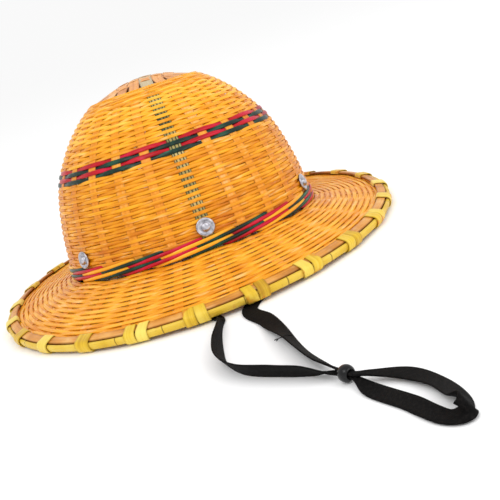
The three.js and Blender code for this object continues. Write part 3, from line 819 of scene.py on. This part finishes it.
def crown_top():
    """Finer rows that close the weave round the top opening, and a twisted pair on its edge."""
    strands = Strands(14)
    for i in range(FINE_ROWS):
        level = fine_bottom + (i + 0.5) * FINE_PITCH
        tone = 0.5 + 0.22 * noise.standard_normal()
        weave_row(strands, crown, level, i // 2, FINE_WIDTH, FINE_THICKNESS, FINE_SWING,
                  FINE_PROUD, tone=tone, uneven=FINE_UNEVEN, steps=6)
    n = STAKES * 24
    theta = FRONT_STAKE + 2 * math.pi * np.arange(n) / n
    for side in (0, math.pi):
        turn = TWISTS * theta + side
        level = crown.level[-1] - TWIST_WIDTH / 2 + TWIST_RISE * np.sin(turn)
        points, up, out = crown.at(theta, level, TWIST_PROUD + TWIST_SWING * np.cos(turn))
        strands.add(points, up, out, 0.75 * MM, 0.7 * MM, sides=6, square=0.9, tone=0.45)
    rows = strands.build("crown_top_rows", [weaver_cane])


ROD_WIDTH = 2.35 * MM
ROD_THICKNESS = 1.4 * MM
FLOAT_SHARE = 35 / 45                   # share of its way that a rod spends in front
FIRST_ROD = 3.55                        # stakes from the front one back to the first rod's start
ROD_DEPTH = 0.2 * MM
ROD_BULGE = 1.9 * MM                    # how far a rod stands out in front
ROD_TUCK = 1.4 * MM                     # how far it goes in behind
# Shares of the band's height: where the first row starts, the step to the next, and a row's rise.
ROD_START = 0.08
ROD_STEP = 0.47
ROD_RISE = 0.5


def lower_band():
    """Two rows of three-rod waling.

    Each rod passes over two stakes and behind the third, and rises as it goes.
    """
    strands = Strands(15)
    steps = 12
    k = np.arange(STAKES * steps) / steps
    theta = FRONT_STAKE + k * SPACING
    span = crown.level_at(LOWER_BAND_TOP)
    for row in range(2):
        bottom = (ROD_START + ROD_STEP * row) * span
        rise = ROD_RISE * span
        for rod, slot in enumerate((1, 0, 2)):
            place = ((k + FIRST_ROD - rod) / 3) % 1.0
            in_front = place < FLOAT_SHARE
            behind = (place - FLOAT_SHARE) / (1 - FLOAT_SHARE)
            share = np.where(in_front, place / FLOAT_SHARE, (1 - place) / (1 - FLOAT_SHARE))
            bulge = np.sin(math.pi * np.clip(place / FLOAT_SHARE, 0, 1)) ** 0.5
            swing = np.where(in_front, bulge, 0)
            back = np.where(in_front, 0, np.sin(math.pi * behind))
            depth = ROD_DEPTH + ROD_BULGE * swing - ROD_TUCK * back
            points, up, out = crown.at(theta, bottom + rise * share, depth)
            strands.add(points, up, out, ROD_WIDTH / 2, ROD_THICKNESS / 2, square=0.8, slot=slot,
                        tone=0.55)
    piece = strands.build("lower_band_rods", [red_cane, green_cane, weaver_cane])
    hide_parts("lower_band")


BRIM_ROWS = 25
BRIM_THICKNESS = 2.4 * MM
BRIM_WEAVER = 0.95 * MM
BRIM_PITCH = 2.0 * MM
BRIM_WEAVER_WIDTH = 1.3 * BRIM_PITCH
BRIM_UNEVEN = 0.0025                    # a share of the way down the brim
BRIM_STAKE_THICKNESS = 0.6 * MM
BRIM_SKIN = 0.1 * MM                    # how far the weavers stay inside the brim's faces
BRIM_LAST = 0.955                       # level where the rows end, under the hoops


def brim_weave():
    strands = Strands(16)
    swing = (BRIM_THICKNESS - BRIM_WEAVER) / 2 - BRIM_SKIN
    for i in range(BRIM_ROWS):
        level = BRIM_LAST * (i + 0.3) / BRIM_ROWS
        tone = 0.5 + 0.08 * noise.standard_normal()
        weave_row(strands, brim, level, i, BRIM_WEAVER_WIDTH, BRIM_WEAVER, swing, 0.0,
                  tone=tone, uneven=BRIM_UNEVEN)
    weave = strands.build("brim_weavers", [brim_cane])
    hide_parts("brim")
    stakes = Strands(17)
    for k in range(STAKES):
        stake(stakes, brim, k, 1.0, CROWN_STAKE_WIDTH, BRIM_STAKE_THICKNESS, 0.0,
              STAKE_TONES.get(k, 0.3))
    piece = stakes.build("brim_stakes", [stake_cane])


# --- Star of crossing strips at the top ----------------------------------------------

# Height of the star's face by radius, in the crown's leaning frame, in millimetres.
STAR_PROFILE = [(0, 140.7), (7, 140.2), (18.5, 138.3), (28.5, 135.2), (39.3, 131.6)]
STAR_WIDTH = 8 * MM
GREY_STRIP_WIDTH = 9.4 * MM
STAR_THICKNESS = 0.8 * MM
STAR_PITCH = 8.6 * MM
STAR_STRIPS = 6
STAR_END = 39.6 * MM
STAR_LIFT = 0.42 * MM
STAR_SINK = 0.6 * MM                    # from the star's face down to its strips' middle
STAR_WOVEN = 3.1 * STAR_PITCH           # where the strips stop rising and falling
STAR_FADE = 1.2 * STAR_PITCH
GREY_STRIP = (0, 3)                     # way and number of the one grey strip
STAR_AXIS = FRONT_STAKE - SPACING / 2


def star_height(radius):
    rows = catmull_rom([(r * MM, z * MM, 0) for r, z in STAR_PROFILE], 10)
    return np.interp(radius, rows[:, 0], rows[:, 1])


def star_slope(radius):
    even = np.linspace(0, 0.04, 80)
    return np.interp(radius, even, np.gradient(star_height(even), 0.04 / 79))


def crown_star():
    """Six strips each way, plainly woven in the middle, that fan out to the stakes."""
    strands = Strands(18)
    for way in range(2):
        turn = STAR_AXIS + way * math.pi / 2
        forward = np.array([math.cos(turn), math.sin(turn)])
        aside = np.array([-math.sin(turn), math.cos(turn)])
        for i in range(STAR_STRIPS):
            offset = i - (STAR_STRIPS - 1) / 2
            side = offset * STAR_PITCH
            end_x = STAR_END * math.cos(offset * SPACING)
            end_y = STAR_END * math.sin(offset * SPACING)
            straight = [(x * MM, side, 0) for x in (-24, -8, 8, 24)]
            rows = catmull_rom([(-end_x, end_y, 0), *straight, (end_x, end_y, 0)], 12)
            x, y = rows[:, 0], rows[:, 1]
            radius = np.hypot(x, y)
            column = x / STAR_PITCH + (STAR_STRIPS - 1) / 2
            fade = np.clip((STAR_WOVEN - np.abs(x)) / STAR_FADE, 0, 1)
            lift = STAR_LIFT * np.cos(math.pi * (column + i + way)) * fade
            height = star_height(radius) - STAR_SINK + lift
            flat = x[:, None] * forward + y[:, None] * aside
            points = np.concatenate([flat, height[:, None]], 1)
            along = unit(np.gradient(points, axis=0))
            lean = -flat / np.maximum(radius, 1e-6)[:, None] * star_slope(radius)[:, None]
            out = unit(np.concatenate([lean, np.ones((len(x), 1))], 1))
            across = unit(np.cross(along, out))
            out = np.cross(across, along)
            grey = (way, i) == GREY_STRIP
            width = GREY_STRIP_WIDTH if grey else STAR_WIDTH
            strands.add(from_crown(points), across @ crown_turn.T, out @ crown_turn.T, width / 2,
                        STAR_THICKNESS / 2, sides=12, closed=False, square=0.5,
                        slot=1 if grey else 0, tone=0.2 + 0.6 * noise.random())
    star = strands.build("crown_star_strips", [star_cane, grey_cane])
    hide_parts("crown_star")


# --- Rim -----------------------------------------------------------------------------

HOOP_OUT = -3.3 * MM
HOOP_HALF_WIDTH = 3 * MM
WRAP_WIDTH = 11 * MM
DOUBLE_WRAP_WIDTH = 15.5 * MM
DOUBLE_WRAPS = (0, 1, 2, 3, 9, 12, 15, 22, 23)
DOUBLE_WRAP_GAP = 0.35 * MM
# The wrap's middle line round the rim's section, out and up from the rim, in millimetres.
WRAP_OUTLINE = [(-6.95, 1.5), (-6.95, 4.05), (1.85, 4.05), (3.65, 2.25), (3.65, -2.05),
                (1.85, -3.85), (-6.95, -3.85), (-6.95, -1.5)]
WRAP_HALF_THICKNESS = 0.36 * MM
# Places across a wrap, and how thick it is there as a share of its middle.
WRAP_COLUMNS = np.array([-1, -0.93, -0.6, 0, 0.6, 0.93, 1])
WRAP_FACE = np.array([0.45, 0.92, 1, 1, 1, 0.92, 0.45])
WRAP_CENTRE = np.array([-1.6, 0.1]) * MM
WRAP_SLANT = math.radians(1.2)


def rim_loop(name, out, up, half_width, half_depth, material, replaces, seed, square=0.5,
             sides=10):
    """A strip that runs all the way round the rim."""
    theta = 2 * math.pi * np.arange(240) / 240
    strands = Strands(seed)
    points = rim_point(theta, out, up)
    ring = ring_direction(theta)
    across = ring * math.cos(RIM_TILT) - UP * math.sin(RIM_TILT)
    square_to = ring * math.sin(RIM_TILT) + UP * math.cos(RIM_TILT)
    swell = 1 + 0.03 * np.sin(7 * theta + seed) + 0.02 * np.sin(17 * theta)
    strands.add(points, across, square_to, half_width * swell, half_depth, sides=sides,
                square=square, tone=0.5)
    piece = strands.build(name, [material])
    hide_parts(replaces)


def rounded(points, steps, passes):
    """An open line with its corners rounded off."""
    points = np.array(points, float)
    length = run_length(points)
    even = np.linspace(0, length[-1], steps)
    line = np.stack([np.interp(even, length, column) for column in points.T], -1)
    for _ in range(passes):
        line[1:-1] = (line[:-2] + 2 * line[1:-1] + line[2:]) / 4
    return line


def wrap_turn(strands, outline, theta, width):
    """One turn of a wrap: a strip with a crowned face, whose section follows the rim's circle."""
    face = WRAP_HALF_THICKNESS * WRAP_FACE
    tone = 0.35 + 0.5 * noise.random()
    along = unit(np.gradient(outline, axis=0))
    away = np.stack([along[:, 1], -along[:, 0]], -1)
    away = away * np.sign(((outline - WRAP_CENTRE) * away).sum(-1, keepdims=True))
    columns = np.concatenate([WRAP_COLUMNS, WRAP_COLUMNS[::-1]])
    rows = []
    for column, lift in zip(columns, np.concatenate([face, -face[::-1]])):
        place = outline + away * lift
        turn = theta + column * width / 2 / RIM_RADIUS
        rows.append(rim_point(turn, place[:, 0], place[:, 1]))
    strands.skin(np.stack(rows, 1), WRAP_COLUMNS, tone)


def rim_wraps():
    """Wide split cane bent round the rim, one turn or two side by side."""
    outline = rounded(WRAP_OUTLINE, 60, 8) * MM
    for i in range(STAKES):
        strands = Strands(30 + i)
        middle = FRONT_STAKE + WRAP_SHIFT + i * SPACING
        turns, width = (0,), WRAP_WIDTH
        if i in DOUBLE_WRAPS:
            turns, width = (-0.25, 0.25), DOUBLE_WRAP_WIDTH / 2 - DOUBLE_WRAP_GAP
        for turn in turns:
            theta = np.full(len(outline), middle + turn * DOUBLE_WRAP_WIDTH / RIM_RADIUS)
            slant = WRAP_SLANT * (noise.random() - 0.5) * np.linspace(-1, 1, len(outline))
            wrap_turn(strands, outline, theta + slant, width)
        name = f"rim_wrap_{i + 1:02d}"
        piece = strands.build(f"cane_wrap_{i + 1:02d}", [yellow_cane])
        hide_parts(name)


# --- Rivets --------------------------------------------------------------------------

RIVETS = 6
RIVET_HEIGHT = 32.5 * MM
STRAP_RIVETS = (1, 4)
# Room between the wall and a rivet's inner disc, in millimetres, without and with the strap.
DISC_GRIP = 0.6
STRAP_GRIP = 2.4
# Radius and height in millimetres: the cupped washer and the domed head, from the wall out.
RIVET_HEAD = [(1.6, 0.3), (5.6, 0.3), (6.2, 0.5), (6.35, 0.85), (6.2, 1.25), (5.7, 1.55),
              (5.0, 1.62), (4.2, 1.35), (3.5, 1.15), (3.1, 1.2), (3.05, 1.9), (2.85, 2.5),
              (2.3, 2.95), (1.4, 3.2), (0.6, 3.28), (0.01, 3.3)]


def rivets():
    """Rivets through the wall. Two of them also hold the strap under their inner disc."""
    for i in range(RIVETS):
        theta = np.array([FRONT_STAKE + i * 2 * math.pi / RIVETS])
        seat, _, out = crown.at(theta, crown.level_at(RIVET_HEIGHT), WALL / 2)
        disc = -WALL / MM - (STRAP_GRIP if i in STRAP_RIVETS else DISC_GRIP)
        profile = [(0.01, disc - 0.8), (4.7, disc - 0.8), (5, disc - 0.6), (5, disc), (1.6, disc)]
        outline = [(r * MM, z * MM) for r, z in profile + RIVET_HEAD]
        turn = Vector((0, 0, 1)).rotation_difference(Vector(out[0])).to_matrix().to_4x4()
        place = Matrix.Translation(Vector(seat[0])) @ turn
        piece = turned(f"rivet_{i + 1}_turned", outline, 40, rivet_metal, place)
        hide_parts(f"rivet_{i + 1}")


crown_weave()
crown_stakes()
crown_top()
lower_band()
brim_weave()
crown_star()
rim_loop("rim_hoop_top_strip", HOOP_OUT, 2.45 * MM, HOOP_HALF_WIDTH, 0.95 * MM, hoop_cane,
         "rim_hoop_top", seed=20)
rim_loop("rim_hoop_under_strip", HOOP_OUT, -2.35 * MM, HOOP_HALF_WIDTH, 0.85 * MM, hoop_cane,
         "rim_hoop_under", seed=21)
rim_loop("rim_edge_cane", 1.4 * MM, 0.0, 1.5 * MM, 2.6 * MM, edge_cane,
         "rim_edge_strip", seed=22, square=0.8, sides=12)
rim_wraps()
rivets()

# --- Floor and light -----------------------------------------------------------------

FLOOR_SIZE = 60
WORLD_LIGHT = 0.95
# Name, place, size in metres and power in watts. Each lamp faces LAMP_TARGET.
LAMPS = (("key", (-0.5, -1.1, 1.5), 0.9, 7), ("fill", (1.1, -0.9, 0.9), 1.2, 6))
LAMP_TARGET = Vector((0, 0, 0.05))


def add_stage():
    bpy.ops.mesh.primitive_plane_add(size=FLOOR_SIZE)
    floor = bpy.context.object
    floor.name = "floor"
    s = Shader("floor")
    s.finish((1.0, 1.0, 1.0), 0.9, Specular_IOR_Level=0.0)
    floor.data.materials.append(s.material)
    world = bpy.data.worlds.new("studio")
    world.use_nodes = True
    world.node_tree.nodes["Background"].inputs[0].default_value = (1, 1, 1, 1)
    world.node_tree.nodes["Background"].inputs[1].default_value = WORLD_LIGHT
    bpy.context.scene.world = world
    bpy.context.scene.view_settings.view_transform = "Standard"
    for name, place, size, power in LAMPS:
        data = bpy.data.lights.new(name, "AREA")
        data.size = size
        data.energy = power
        light = bpy.data.objects.new(name, data)
        light.location = place
        light.rotation_euler = (LAMP_TARGET - Vector(place)).to_track_quat("-Z", "Y").to_euler()
        bpy.context.collection.objects.link(light)


add_stage()
